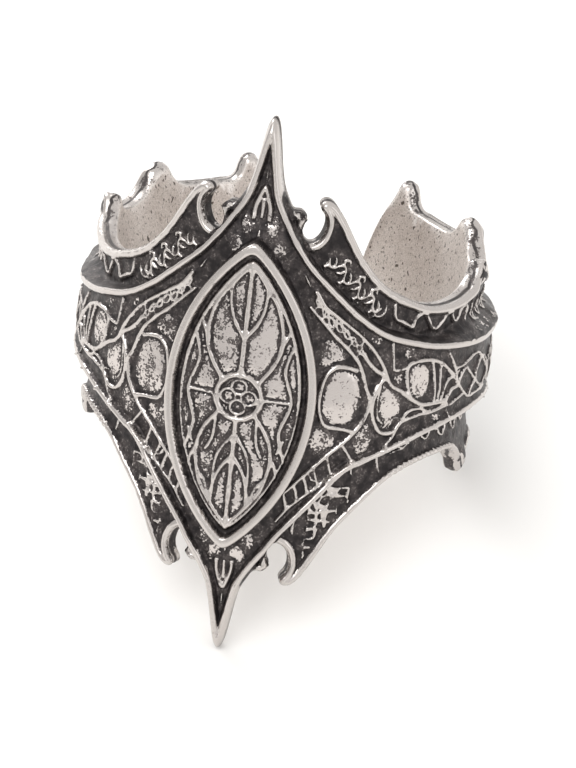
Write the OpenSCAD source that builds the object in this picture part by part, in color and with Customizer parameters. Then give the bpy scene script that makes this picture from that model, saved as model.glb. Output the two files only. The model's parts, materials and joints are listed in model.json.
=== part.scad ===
// Open, adjustable ring with long centre spikes, cast in one piece.
// The ring is drawn about its finger hole: +Z along the hole, the front at -Y.
// Angles run from the front round to the ring's right-hand side. The lower half
// mirrors the upper half, and the left side mirrors the right side.
// At the end the ring is tipped to the pose in which it lies on a table.

/* [Finger hole] */
// Radius of the finger hole
bore_r = 9.4; // [8.6:0.1:10.2]
// Opening at the back between the two ends of the band, in degrees
gap_deg = 26; // [20:1:40]

/* [Band] */
// Thickness of the thin crown strips above and below the middle band
crown_t = 0.95; // [0.8:0.05:1.1]
// Thickness of the middle band at its centre line, without the tracery
middle_t = 1.95; // [1.8:0.05:2.1]
// Thickness of the band at the rim lines that edge the middle band
rim_t = 2.1; // [2.0:0.05:2.3]
// Width of a rim line
rim_w = 0.38; // [0.3:0.02:0.5]
// Width of the bead along the crown edge
bead_w = 0.42; // [0.3:0.02:0.5]
// Height of the bead above the crown strip
bead_h = 0.25; // [0.15:0.05:0.35]

/* [Spikes] */
// Height of the ring from the upper spike tip to the lower one
overall_h = 30.3; // [28:0.1:32]
// Radius of the round bottom of the notch beside a spike
notch_r = 0.57; // [0.45:0.01:0.6]

/* [Plaque] */
// Half of the plaque's height
plaque_h = 8.54; // [8:0.02:8.8]
// Half of the plaque's width, measured straight across
plaque_w = 4.21; // [3.8:0.01:4.4]
// Thickness from the finger hole to the top of the plaque's rim
plaque_t = 2.8; // [2.6:0.05:3]
// Depth of the sunk field inside the rim
plaque_sunk = 0.62; // [0.3:0.02:0.7]
// Width of the plaque's rim
plaque_rim = 0.6; // [0.5:0.02:0.8]
// How far the plaque's two points lie behind its middle
plaque_bow = 0.24; // [0.1:0.02:0.3]

/* [Tracery] */
// Width of a tracery rib at its foot
rib_w = 0.3; // [0.24:0.02:0.4]
// Height of a tracery rib
rib_h = 0.2; // [0.12:0.02:0.26]

/* [Hidden] */
metal = "#b7aca4";
deg = PI / 180;
strip_r = bore_r + crown_t;
middle_r = bore_r + middle_t;
// Depth of the slope on the crown edge's inner side, and how far a solid reaches into the finger hole.
edge_slope = 0.3;
reach_in = 0.6;

// Crown edge, from the spike tip to the middle of the band's end: [angle, height].
EDGE = [
  [0, 15.15], [1.1, 15.06], [2, 14.6], [2.7, 13.9], [4.2, 12.2], [5.4, 11.35], [7, 10.88], [9.6, 10.55],
  [13.3, 10.15], [13.8, 9.45], [17.4, 9.45], [18, 10.45], [19.5, 10.95], [21.2, 10.75],
  [23.2, 10.2], [25.4, 9.5], [28.4, 8.55], [32, 7.5], [36.4, 6.38], [41.2, 5.5], [47, 4.95], [54, 4.72],
  [62, 4.66], [70, 4.74], [76, 4.98], [81, 5.32], [85, 5.8], [87.5, 6.25], [89, 6.45],
  [90.8, 6.3], [92.4, 5.65], [95.5, 5.18], [100, 4.98], [105, 5.02], [110, 5.32], [114, 5.95],
  [117, 6.65], [118.7, 6.88], [120.3, 6.72], [122, 6.05], [125, 5.35], [130, 4.93], [136, 4.82],
  [141, 5], [145.5, 5.42], [149, 6.05], [151.4, 6.72], [152.8, 6.9], [154.6, 6.7], [157.5, 6.1],
  [160.5, 5.32], [163.2, 4.2], [165.4, 2.75], [166.6, 1.45], [167, 0.6]
];
HOOK_D = [152.8, 6.9];
NOTCH = [14.9, 9.3];

// Rim line between crown strip and middle band: [angle, height].
RIM = [
  [0, 14.3], [0.9, 13.8], [1.8, 13], [2.8, 12], [4, 11.05], [6.2, 10.2], [8, 9.6], [10.8, 8.72],
  [15, 7.62], [19, 6.82], [23.5, 6], [28, 5.2], [32, 4.6], [37, 3.98], [42, 3.5], [47, 3.2],
  [53, 2.92], [60, 2.68], [68, 2.45], [79, 2.2], [90, 2.1], [150, 2.1], [160, 2],
  [163, 1.7], [165, 1.2], [166.3, 0.7], [167, 0.3]
];

// Thickness over the finger hole along the height: [height, rim line, floor between the lines].
THICK = [
  [0, rim_t, middle_t], [2, rim_t, middle_t - 0.12], [4, rim_t, middle_t - 0.25],
  [7, rim_t, middle_t - 0.28], [8.6, rim_t - 0.1, middle_t - 0.35],
  [10.2, rim_t - 0.45, middle_t - 0.62], [12, rim_t - 0.75, middle_t - 0.85],
  [14, rim_t - 1, middle_t - 0.98], [15.2, rim_t - 1.15, middle_t - 1.1]
];
PLAQUE_ROWS = [-1, -0.985, -0.95, -0.9, -0.82, -0.73, -0.62, -0.5, -0.38, -0.25, -0.12, 0,
               0.12, 0.25, 0.38, 0.5, 0.62, 0.73, 0.82, 0.9, 0.95, 0.985, 1];

// The tables end at drawn_end. Past bend_from the band is drawn longer or shorter to suit the opening,
// and over the last few degrees it thins out to its end.
drawn_end = EDGE[len(EDGE) - 1][0];
bend_from = 125;
end_deg = 180 - gap_deg / 2;
thin_deg = 5;
function placed(a) = abs(a) <= bend_from ? a
  : sign(a) * (bend_from + (abs(a) - bend_from) * (end_deg - bend_from) / (drawn_end - bend_from));
function on_band(a, r, z) = [r * sin(placed(a)), -r * cos(placed(a)), z];
function rim_z(a) = lookup(abs(a), RIM);
function edge_z(a) = lookup(abs(a), EDGE);
function column(table, i) = [for (row = table) [row[0], row[i]]];
function rim_r(z) = bore_r + lookup(abs(z), column(THICK, 1));
function floor_r(z) = bore_r + lookup(abs(z), column(THICK, 2));

// How much longer the crown edge is than the angle it covers, so that the bead keeps its width.
function stretch(a) = let (rise = (edge_z(a + 0.8) - edge_z(a - 0.8)) / (1.6 * deg * strip_r))
  min(sqrt(1 + rise * rise), 2.6);

// Half a section through the band at one angle, from its centre line to the crown edge.
crest_round = 0.12;
function half_section(a) = let (
    top = edge_z(a),
    rim = rim_z(a),
    full = max(0, min(1, (drawn_end - abs(a)) / thin_deg)),
    lean = stretch(a),
    room = top - rim - rim_w / 2,
    bead = min(bead_w * lean, room * 0.6),
    crest = strip_r + bead_h * full
  ) [
    for (part = [0, 0.5]) let (z = part * rim) [strip_r + (floor_r(z) - strip_r) * full, z],
    [strip_r + (floor_r(rim) - strip_r) * full, rim - min(0.32, rim * 0.2)],
    [strip_r + (rim_r(rim) - strip_r) * full, rim - min(0.16, rim * 0.1)],
    [strip_r + (rim_r(rim) - strip_r) * full, rim + min(0.14, room * 0.1)],
    [strip_r, rim + min(0.3, room * 0.3)],
    [strip_r, top - bead],
    [crest - 0.03 * full, top - bead * 0.75],
    [crest, top - bead * 0.35],
    [crest - crest_round, top - 0.02],
    [bore_r + edge_slope, top],
    [bore_r - reach_in, top - min(reach_in, top * 0.4)]
  ];
function section(a) = let (half = half_section(a), n = len(half)) concat(
  [for (i = [n - 1 : -1 : 0]) half[i]],
  [for (i = [1 : n - 1]) [half[i][0], -half[i][1]]]
);

columns = concat([for (i = [len(EDGE) - 1 : -1 : 1]) -EDGE[i][0]], [for (row = EDGE) row[0]]);
band_loops = [for (a = columns) [for (p = section(a)) on_band(a, p[0], p[1])]];

// A solid made of equal closed loops, one after another. It is either closed round on itself
// or capped at a middle point at each end.
function middle(loop) = [for (k = [0 : 2]) let (v = [for (p = loop) p[k]]) (min(v) + max(v)) / 2];
module loft(loops, round = false) {
  n = len(loops[0]);
  m = len(loops);
  sides = [for (i = [0 : m - (round ? 1 : 2)], j = [0 : n - 1])
    let (k = (j + 1) % n, a = i * n, b = (i + 1) % m * n)
      each [[a + j, b + j, b + k], [a + j, b + k, a + k]]];
  ends = [for (j = [0 : n - 1]) let (k = (j + 1) % n, last = (m - 1) * n)
    each [[m * n, j, k], [m * n + 1, last + k, last + j]]];
  points = [for (loop = loops) each loop];
  if (round) polyhedron(points, sides);
  else polyhedron(concat(points, [middle(loops[0]), middle(loops[m - 1])]), concat(sides, ends));
}

module band() loft(band_loops);

// The plaque's outline is two arcs that meet in a point above and below.
arc_r = (plaque_h * plaque_h + plaque_w * plaque_w) / (2 * plaque_w);
function plaque_x(z, inset) = let (r = arc_r - inset) sqrt(max(0, r * r - z * z)) - (arc_r - plaque_w);

function plaque_r(z) = bore_r + plaque_t - plaque_bow * pow(z / plaque_h, 2);

module plaque() {
  sections = [for (f = PLAQUE_ROWS) let (
      z = f * plaque_h,
      r = plaque_r(z),
      x0 = max(0.02, plaque_x(z, 0)),
      x1 = max(0.012, plaque_x(z, 0.1)),
      x2 = max(0.008, plaque_x(z, plaque_rim - 0.12)),
      x3 = max(0.005, plaque_x(z, plaque_rim)),
      sunk = plaque_sunk * min(1, x3 / 0.4),
      half = [
        [x3 * 0.5, r - sunk + 0.06 * min(1, x3 / 0.4)], [x3, r - sunk], [x2, r - 0.03], [x1, r],
        [x0, r - 0.16], [x0 + 0.05, bore_r + 0.8]
      ]
    ) concat([for (i = [5 : -1 : 0]) [-half[i][0], half[i][1], z]],
             [[0, half[0][1] + 0.02, z]],
             [for (p = half) [p[0], p[1], z]])];
  loft([for (s = sections) [for (p = s)
    let (a = asin(p[0] / (bore_r + plaque_t))) [p[1] * sin(a), -p[1] * cos(a), p[2]]]]);
}

// A smooth line through a few points, with a number of steps between each two of them.
function turned(p, i) = p[max(0, min(len(p) - 1, i))];
function smooth(p, steps = 2) = concat([for (i = [0 : len(p) - 2], k = [0 : steps - 1])
  let (t = k / steps, a = turned(p, i - 1), b = p[i], c = p[i + 1], d = turned(p, i + 2))
    b + (c - a) * t / 2 + (a * 2 - b * 5 + c * 4 - d) * t * t / 2
      + (b * 3 - a - c * 3 + d) * t * t * t / 2], [p[len(p) - 1]]);
function oval(a, z, half_a, half_z, n) = [for (i = [0 : n - 1])
  [a + half_a * cos(i * 360 / n), z + half_z * sin(i * 360 / n)]];

// A rib with a sharp crest along a line of [angle, height] points, rooted in the ground it lies on.
function on_plaque(a, z) = abs(a) * deg * (bore_r + plaque_t) < plaque_x(z, plaque_rim / 2);
function ground_r(a, z) = on_plaque(a, z) ? plaque_r(z) - plaque_sunk + 0.05
  : abs(z) < rim_z(a) ? floor_r(z) : strip_r;
module rib(line, w = rib_w, h = rib_h, round = false) {
  root = 0.12;
  n = len(line);
  loft([for (i = [0 : n - 1]) let (
      before = line[round ? (i + n - 1) % n : max(0, i - 1)],
      after = line[round ? (i + 1) % n : min(n - 1, i + 1)],
      reach = [(after[0] - before[0]) * deg * middle_r, after[1] - before[1]],
      across = [-reach[1], reach[0]] / norm(reach) * w / 2,
      side = across[0] / (deg * middle_r),
      g = ground_r(line[i][0], line[i][1])
    ) [on_band(line[i][0] + side, g - root, line[i][1] + across[1]),
       on_band(line[i][0], g + h, line[i][1]),
       on_band(line[i][0] - side, g - root, line[i][1] - across[1])]], round);
}

// Tracery on the right half of the middle band.
BORDER = [[15.5, 5.15], [22, 4.25], [28, 3.15], [31.2, 2.5], [33.6, 1.5], [35.4, 0.1], [33.8, -0.9],
          [30.5, -2], [27.5, -2.65], [22, -3.75], [15.5, -5.2]];
BRANCH = [[20, 5.6], [27, 4.45], [33, 3.35], [37, 2.45], [39.8, 1.45], [45, 0.6], [51, -0.2],
          [56, -0.5], [64, -0.75]];
LOWER = [[38.6, 1.3], [37, 0.5], [36.9, -0.4], [38.6, -1.2], [42, -1.75], [46, -1.5],
         [50, -1.05], [64, -0.85]];
LOBE = [[47.3, 0.35], [46.6, 1.2], [47.4, 1.95], [51, 2.12], [56, 2.05], [60, 1.6], [64, 0.85]];
SPOKES = [[[56.2, 2], [57.4, 0.8], [58, -0.45]], [[59.4, 1.65], [59.3, 0.7], [59.1, -0.45]],
          [[62.6, 1.05], [61, 0.3], [60.3, -0.5]]];
braid_from = 64;
braid_to = 154;
braid_turn = 26;
function strand(k) = [for (a = [braid_from : 4.5 : braid_to])
  [a, 0.3 + 1.12 * sin(360 * (a - braid_from) / braid_turn + 180 * k + 15)]];
function drip(side) = [for (a = [42.5 : 3.2 : 78])
  [a, side * (rim_z(a) + edge_z(a) - bead_w) / 2 + 0.32 * sin(360 * a / 12.8)]];

module half_tracery() {
  rib(smooth(BORDER), rib_w * 1.1, rib_h);
  rib(smooth(BRANCH), rib_w, rib_h * 0.85);
  rib(smooth(LOWER), rib_w, rib_h * 0.92);
  rib(smooth(LOBE), rib_w * 0.95, rib_h * 0.78);
  rib(oval(27.6, 0.25, 6.1, 1.72, 14), rib_w * 0.95, rib_h * 0.9, true);
  for (spoke = SPOKES) rib(spoke, rib_w * 0.9, rib_h * 0.7);
  for (k = [0, 1]) rib(strand(k), rib_w, rib_h * (1 - 0.08 * k));
  for (side = [-1, 1]) rib(drip(side), rib_w * 0.8, rib_h * 0.8);
}

// Window tracery in the plaque: a centre rose, and above and below it a stem between two curved bars.
BAR = [[4.4, 0.9], [8.6, 2.2], [9.6, 3.5], [7.6, 5], [4, 6.3], [0.2, 7.3]];
CUSP = [[12.2, 3.2], [10.8, 1.6], [13.2, 0], [10.8, -1.6], [12.2, -3.2]];
module window() {
  rib(oval(0, 0, 6, 1.25, 10), rib_w * 1.2, rib_h, true);
  for (way = [-1, 1]) {
    rib([[0, way * 1.05], [0, way * 4.2], [0, way * 7.25]], rib_w, rib_h * 0.9);
    for (side = [-1, 1]) rib([for (p = BAR) [side * p[0], way * p[1]]], rib_w, rib_h * 0.8);
  }
  for (side = [-1, 1]) rib([for (p = CUSP) [side * p[0], p[1]]], rib_w, rib_h * 0.7);
}

module tracery() {
  half_tracery();
  mirror([1, 0, 0]) half_tracery();
  window();
}

module notch_cutters() {
  for (side = [-1, 1], way = [-1, 1])
    rotate([0, 0, side * NOTCH[0]])
      translate([0, -bore_r, way * NOTCH[1]])
        rotate([90, 0, 0]) cylinder(r = notch_r, h = 8, center = true, $fn = 16);
}

// The ring lies on the lower spike's tip and on the two lower hooks at the band's ends.
grow = overall_h / (2 * EDGE[0][1]);
spike_foot = [-(bore_r + edge_slope), -EDGE[0][1] * grow];
hook_foot = [-(strip_r + bead_h - crest_round) * cos(placed(HOOK_D[0])), (0.02 - HOOK_D[1]) * grow];
tilt = -atan((hook_foot[1] - spike_foot[1]) / (hook_foot[0] - spike_foot[0]));
tipped_y = [for (loop = band_loops, p = loop) p[1] * cos(tilt) - p[2] * grow * sin(tilt)];
rest = [0, -(max(tipped_y) + min(tipped_y)) / 2,
        -(spike_foot[0] * sin(tilt) + spike_foot[1] * cos(tilt))];

module ring() {
  color(metal) translate(rest) rotate([tilt, 0, 0]) difference() {
    resize([0, 0, overall_h]) difference() {
      union() {
        band();
        plaque();
        tracery();
      }
      notch_cutters();
    }
    cylinder(r = bore_r, h = overall_h + 2, center = true, $fn = 96);
  }
}

ring();
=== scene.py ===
import json
import math

import bpy
import numpy as np
from mathutils import Matrix, Vector
from mathutils.geometry import delaunay_2d_cdt


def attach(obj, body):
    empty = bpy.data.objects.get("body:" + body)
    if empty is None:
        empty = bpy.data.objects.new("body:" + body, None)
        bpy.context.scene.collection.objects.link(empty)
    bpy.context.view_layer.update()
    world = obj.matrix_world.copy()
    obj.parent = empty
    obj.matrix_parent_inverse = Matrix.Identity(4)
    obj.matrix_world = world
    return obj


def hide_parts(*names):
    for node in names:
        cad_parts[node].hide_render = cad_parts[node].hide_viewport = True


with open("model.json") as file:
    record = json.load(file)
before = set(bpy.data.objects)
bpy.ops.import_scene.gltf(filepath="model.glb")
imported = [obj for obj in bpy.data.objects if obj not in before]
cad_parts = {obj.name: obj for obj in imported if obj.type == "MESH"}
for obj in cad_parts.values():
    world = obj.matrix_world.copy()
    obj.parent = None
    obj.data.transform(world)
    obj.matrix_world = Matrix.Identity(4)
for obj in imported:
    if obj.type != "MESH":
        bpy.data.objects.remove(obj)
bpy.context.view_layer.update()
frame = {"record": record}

# The finger hole. The ring is cast round it, so all of the casting is drawn upright about the hole first,
# in millimetres. At the end it is tipped to the pose in which the ring lies on a table.
hole = frame["record"]["mounts"][0]
bore = hole["dims"]["r_mm"]
tilt = math.atan2(-hole["axis"][1], hole["axis"][2])
to_rest = Matrix.Translation(hole["pos_m"]) @ Matrix.Rotation(tilt, 4, "X")

# The carving. A ring like this is carved in wax and then cast in a white metal alloy, so its outside is one
# relief. It is drawn here on a flat sheet: across is the way round the hole, from the front to the right
# side, and up is the hole's axis. The left side of the ring mirrors the right side.
sheet_r = 11.2  # mm, radius at which the sheet is as wide as the ring is round
deg = math.radians(1) * sheet_r  # mm on the sheet for a degree round the hole
cell = 0.025  # mm between the sheet's points
cells_past_front = 24
cells_round = 1340
cells_up = 624
across = np.arange(-cells_past_front, cells_round) * cell
up = np.arange(-cells_up, cells_up + 1) * cell
X, Z = np.meshgrid(across, up)
ANGLE = X / deg
HEIGHT = np.abs(Z)
hand = np.random.default_rng(7)  # the unevenness of hand work, the same on each run

# The crown edge. The casting's free edge is cut in scallops with hooked points, and a thin bead is raised
# along it. It runs from the spike's tip past a spur, round a notch to a hooked point, and then in scallops
# to the end of the band. Each row is [angle, height] from the plaque's centre, in degrees and millimetres.
CROWN = [
    [0, 15.08], [0.9, 14.98], [1.75, 14.6], [2.55, 13.9], [4.1, 12.2], [5.3, 11.35], [6.9, 10.72],
    [8.6, 10.25], [11.2, 10.2], [13.1, 9.85], [12.5, 9.6], [12, 9.2], [12.5, 8.8], [14, 8.54],
    [15.8, 8.58], [17.5, 8.85], [18.6, 9.3], [18.9, 9.75], [18.2, 10.15], [17, 10.42], [16.6, 10.68],
    [17.6, 10.9], [19.5, 10.92], [21.4, 10.7], [23.6, 10.2], [26, 9.5], [28.6, 8.68], [32, 7.7],
    [36.4, 6.78], [41.2, 5.98], [47, 5.28], [54, 4.75], [62, 4.5], [70, 4.48], [75, 4.6], [79.5, 4.95],
    [82.6, 5.42], [84.3, 5.9], [85.9, 6.25], [87.5, 6.35], [89.1, 6.24], [90.8, 5.85], [92.6, 5.4],
    [95.4, 5.1], [99, 5], [104, 5.06], [108.4, 5.42], [110.8, 6.05], [112.9, 6.62], [116.4, 6.86],
    [119.9, 6.74], [121.8, 6.2], [124, 5.76], [127.4, 5.5], [132, 5.42], [138, 5.42], [143, 5.5],
    [146.6, 5.6], [148.1, 5.86], [149, 6.4], [150, 6.84], [152.3, 7], [154.8, 6.82], [156.4, 6.1],
    [158.6, 5.25], [161.2, 4.3], [163.7, 3.1], [165.6, 1.9], [166.7, 0.9], [167, 0.5],
]
band_end = CROWN[-1][0]


def curve(points, closed=False, step=0.14):
    """A smooth line in flat millimetres through a few points given as [angle, height]."""
    p = np.array(points, float) * [deg, 1]
    n = len(p)
    places = [(i - 1, i, i + 1, i + 2) for i in range(n if closed else n - 1)]
    line = []
    for four in places:
        a, b, c, d = (p[i % n] if closed else p[min(max(i, 0), n - 1)] for i in four)
        k = max(1, math.ceil(np.linalg.norm(c - b) / step))
        t = np.arange(k)[:, None] / k
        line.append(b + (c - a) * t / 2 + (2 * a - 5 * b + 4 * c - d) * t**2 / 2
                    + (3 * b - a - 3 * c + d) * t**3 / 2)
    line.append(p[:1] if closed else p[-1:])
    return np.concatenate(line)


crown_line = curve(CROWN, step=0.1)


def window(low, high):
    """The rows and columns of the sheet that a box covers."""
    first = np.maximum(0, ((low - [across[0], up[0]]) / cell).astype(int))
    last = ((high - [across[0], up[0]]) / cell).astype(int) + 2
    return np.s_[first[1]:max(last[1], first[1]), first[0]:max(last[0], first[0])]


def distance(line, reach, half_widths=None):
    """How far the sheet's cells lie from a line, up to reach, in millimetres or in the line's half widths."""
    w = np.ones(len(line)) if half_widths is None else half_widths
    found = np.full(X.shape, reach / w.min(), np.float32)
    for a, b, wa, wb in zip(line[:-1], line[1:], w[:-1], w[1:]):
        part = window(np.minimum(a, b) - reach, np.maximum(a, b) + reach)
        ab = b - a
        t = ((X[part] - a[0]) * ab[0] + (Z[part] - a[1]) * ab[1]) / max(ab @ ab, 1e-9)
        t = np.clip(t, 0, 1)
        d = np.hypot(X[part] - a[0] - t * ab[0], Z[part] - a[1] - t * ab[1]) / (wa + t * (wb - wa))
        found[part] = np.minimum(found[part], d)
    return found


to_crown = distance(crown_line, 1.4)
to_crown = np.minimum(to_crown, to_crown[::-1])


def ramp(x, start, end):
    """0 up to start and 1 from end, or the other way round, with a soft change between them."""
    t = np.clip((x - start) / (end - start), 0, 1)
    return t * t * (3 - 2 * t)


def grain(size):
    """Soft random values from 0 to 1 over the sheet, in lumps of about that many millimetres."""
    j = (across - across[0]) / size
    i = (up - up[0]) / size
    lumps = hand.random((int(i[-1]) + 2, int(j[-1]) + 2))
    j0, i0 = j.astype(int), i.astype(int)
    u, v = ramp(j - j0, 0, 1), ramp(i - i0, 0, 1)[:, None]
    low = lumps[i0][:, j0] * (1 - u) + lumps[i0][:, j0 + 1] * u
    high = lumps[i0 + 1][:, j0] * (1 - u) + lumps[i0 + 1][:, j0 + 1] * u
    return low * (1 - v) + high * v


strip_mm = 0.88  # thickness of the crown strips
bead_mm = 0.24
bead_width = 0.48
bead_wander = 0.3
bead_fall = 1.2  # how much further the bead falls on the side of the free edge
hand_mm = 0.03  # how far hand work wanders on a plain surface
lumps = grain(0.32)
over_bead = to_crown / bead_width * (2 + bead_wander * (lumps - 0.5))
bead = np.sqrt(np.clip(1 - (1 - over_bead) ** 2, 0, 1))
bead = np.where(over_bead < 1, (1 + bead_fall) * bead - bead_fall, bead)
skin = strip_mm + bead_mm * bead + hand_mm * (lumps - 0.5)
polish = ramp(to_crown, bead_width, bead_width * 0.8)

# The knobs. The hooked points along the sides and back are cast as thick round knobs, lumpy from the wax,
# with black left in their pits and in a groove inside their round edge. Each row is [angle, height].
KNOBS = [[87.5, 5.85], [116.6, 6.3], [152, 6.35]]
knob_reach = (1.35, 0.6)  # mm from its middle, where it starts and where it is all knob
knob_foot = 0.64  # mm, thickness where the dome starts
knob_half = 0.54  # mm that the dome stands over that
knob_round = 0.52  # mm, how far in the dome is round
knob_lump = 0.12  # mm, height of its lumps
groove_in = 0.32
groove_width = 0.07
groove_deep = 0.08
groove_black = 0.85  # share of the polish that the groove takes away
bright_lump = 0.95  # how far the tops of the lumps are polished
dome = np.sqrt(1 - (1 - np.minimum(to_crown / knob_round, 1)) ** 2)
soft_lumps = grain(0.5)
for angle, height in KNOBS:
    from_tip = np.hypot(X - angle * deg, HEIGHT - height)
    skin += (knob_foot + knob_half * dome - skin) * ramp(from_tip, *knob_reach)
    lumpy = ramp(from_tip, 1.4, 0.8) * ramp(to_crown, 0.75, 0.55)
    off_groove = to_crown - groove_in + knob_lump * (soft_lumps - 0.5)
    groove = np.exp(-((off_groove / groove_width) ** 2)) * lumpy
    skin += knob_lump * (soft_lumps - 0.5) * lumpy - groove_deep * groove
    polish = np.where(to_crown > 0.12, polish * (1 - lumpy * ramp(lumps, 0.3, 0.2)), polish)
    polish = np.maximum(polish, bright_lump * ramp(lumpy, 0.3, 0.5) * ramp(lumps, 0.2, 0.34))
    polish = polish * (1 - groove_black * groove)

# The lower crown bead is knurled along the sides.
knurl_mm = 0.05
knurl_pitch = 0.36
knurled = ramp(ANGLE, 46, 50) * ramp(ANGLE, 80, 74)
knurl = knurled * (Z < 0) * (to_crown < bead_width)
skin += knurl_mm * knurl * np.cos(2 * math.pi * X / knurl_pitch)

# The middle band. It stands out from the crown strips with a steep side, has a raised rim line along each
# side that runs up the spikes, and is sunk a little between the lines. Each row is [angle, height].
RIM = [
    [0, 14.3], [0.9, 13.8], [1.8, 13], [2.8, 12], [4, 11.05], [6.2, 10.2], [8, 9.6], [10.8, 8.72],
    [15, 7.62], [19, 6.82], [23.5, 6], [28, 5.2], [32, 4.6], [37, 3.98], [42, 3.5], [47, 3.2],
    [53, 2.92], [60, 2.68], [68, 2.45], [79, 2.2], [90, 2.1], [105, 2.1], [120, 2.1], [135, 2.1],
    [150, 2.1], [160, 2], [163, 1.7], [165, 1.2], [166.3, 0.7], [167, 0.3],
]
# Below, the line sweeps up sooner, so the band is lower there and the crown strip is wider.
LOWER_RIM = [p for p in RIM if p[0] < 12] + [
    [14, 7.7], [18.5, 6.55], [23.5, 5.35], [28, 4.3], [31.2, 3.72], [36, 3.3], [41, 2.92], [47, 2.5],
    [54, 2.1], [63, 1.78], [74, 1.58], [82, 1.52], [90, 1.62], [100, 1.85], [112, 2.05],
] + [p for p in RIM if p[0] > 119]
# How thick the casting is: [height, mm at the rim line, mm at the sunk floor].
THICK = np.array([
    [0, 2.1, 1.95], [2, 2.1, 1.82], [4, 2.1, 1.68], [7, 2.1, 1.62], [8.6, 2, 1.5], [10.2, 1.65, 1.12],
    [12, 1.4, 0.85], [14, 1.15, 0.8], [15.6, 0.95, 0.85],
])
rim_line = curve(RIM)
low_rim_line = curve(LOWER_RIM)
from_rim = np.minimum(distance(rim_line, 1.4), distance(low_rim_line * [1, -1], 1.4))
rim_height = np.where(Z < 0, np.interp(X, *low_rim_line.T), np.interp(X, *rim_line.T))
within = HEIGHT < rim_height
rim_mm = np.interp(HEIGHT, THICK[:, 0], THICK[:, 1])
floor_mm = np.interp(HEIGHT, THICK[:, 0], THICK[:, 2])
from_rim = np.maximum(from_rim + hand_mm * (lumps - 0.5), 0)
crest_half = 0.13
crest_bend = 2.5
crest = rim_mm - crest_bend * np.minimum(from_rim, crest_half) ** 2
inner_side = floor_mm + (crest - floor_mm) * ramp(from_rim, 0.3, 0.12)
shoulder = ramp(ANGLE, 58, 82) * ramp(ANGLE, 132, 110) * (Z > 0)
shoulder_mm = 1.1
outer_side = strip_mm + (crest - strip_mm) * ramp(from_rim, 0.24 + shoulder_mm * shoulder, 0.12)
run_out = 5  # degrees over which the band thins to its end
full = np.clip((band_end - ANGLE) / run_out, 0, 1)
body = np.where(within, inner_side, outer_side)
body = strip_mm + (body - strip_mm) * full

# At the side a low mound stands above the upper rim line.
MOUND = [97, 2.7]
mound_mm = 0.26
mound_round = 4.5  # degrees that it spreads round the band
mound_up = 0.5  # mm that it spreads up the band
mound = np.exp(-(((ANGLE - MOUND[0]) / mound_round) ** 2) - ((Z - MOUND[1]) / mound_up) ** 2)
body += mound_mm * mound
skin = np.where(within & (to_crown > 0.3), body, np.maximum(skin, body))
polish = np.maximum(polish, ramp(from_rim, 0.21, 0.13) * ramp(full, 0.1, 0.5))
polish = np.where(within & (from_rim > 0.3) & (to_crown > 0.12), 0, polish)

# The spikes. Up each one the rim line and the crown edge close up into one broad round side, which is
# polished all over. The spurs beside them are rough, so only their high places are bright.
spike_foot = (10.5, 11.6)  # mm up, where the round side starts and where it is full
spike_half = 12  # degrees
side_mm = 0.08  # that the round side stands over the rim line
edge_mm = 0.5  # about how thick it is left at the free edge
spur_round = (7, 13.6)  # degrees
spur_up = (9.2, 10.7)  # mm
out_share = from_rim / (from_rim + to_crown + 1e-6)
spike_side = rim_mm + side_mm - (rim_mm - edge_mm) * out_share**3
on_side = ramp(HEIGHT, *spike_foot) * np.where(within, 0, 1) * (ANGLE < spike_half)
skin += (spike_side - skin) * on_side
polish = np.maximum(polish, on_side)
on_spur = (ANGLE > spur_round[0]) * (ANGLE < spur_round[1]) * np.where(within, 0, 1)
on_spur = on_spur * (HEIGHT > spur_up[0]) * (HEIGHT < spur_up[1])
polish = np.where(on_spur * (from_rim > 0.2), 0.3 + 0.5 * ramp(lumps, 0.4, 0.6), polish)

# How far a point lies below the rim line's crest on the steep side that faces the crown edge. Only the
# crest itself is polished, and the steep side stays dark.
beside = ramp(from_rim, 0.5, 0.28) * np.where(within, 0, 1) * (1 - on_side) * full

# The plaque. A pointed oval of two arcs stands on the front, with a round thick rim, a groove inside it
# and a field that is sunk below the rim. It is cast with the ring, and its two points are rounded.
plaque_h = 8.9  # mm, half the height that it would have with sharp points
plaque_w = 4.21  # mm, half the width
plaque_mm = 2.8  # thickness over the hole at the rim's top
tip_round = 0.28
bow_mm = 0.24  # how much thinner it is at its points than at its middle
plaque_side = 0.08  # mm outside its outline, where its steep side ends
fall_mm = 1.2  # that the side falls
corner_mm = 0.16
rim_round = 0.24
rim_bow = 0.04
rim_wide = 0.45
groove_mm = 0.57
field_in = 0.72
field_mm = 0.12
arc_r = (plaque_h**2 + plaque_w**2) / (2 * plaque_w)
aside = np.hypot((bore + plaque_mm) * np.sin(np.radians(ANGLE)), tip_round)
inset = np.where(ANGLE < 60, arc_r - np.hypot(aside + arc_r - plaque_w, Z), -9)
top = plaque_mm - bow_mm * (Z / plaque_h) ** 2
plaque = top - corner_mm * ramp(inset, 0.12, 0) - fall_mm * ramp(inset, 0.02, -plaque_side)
plaque -= rim_bow * np.clip((inset - rim_round) / rim_round, -1, 1) ** 2
plaque -= groove_mm * ramp(inset, rim_wide, rim_wide + 0.09)
plaque += field_mm * ramp(inset, field_in, field_in + 0.1)
on_plaque = inset > -plaque_side
skin = np.where(on_plaque, np.maximum(skin, plaque), skin)
polish = np.where(on_plaque, ramp(inset, 0, 0.05) * ramp(inset, 0.52, 0.46), polish)

# No floor is quite smooth: casting leaves a fine grain on them all, and a coarser one under it.
fine_grain_mm = 0.035
coarse_grain_mm = 0.05
rough_floor = fine_grain_mm * (grain(0.2) - 0.5) + coarse_grain_mm * (grain(0.5) - 0.5)
skin += rough_floor * (1 - polish) * ramp(to_crown, 0.3, 0.6)

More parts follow.
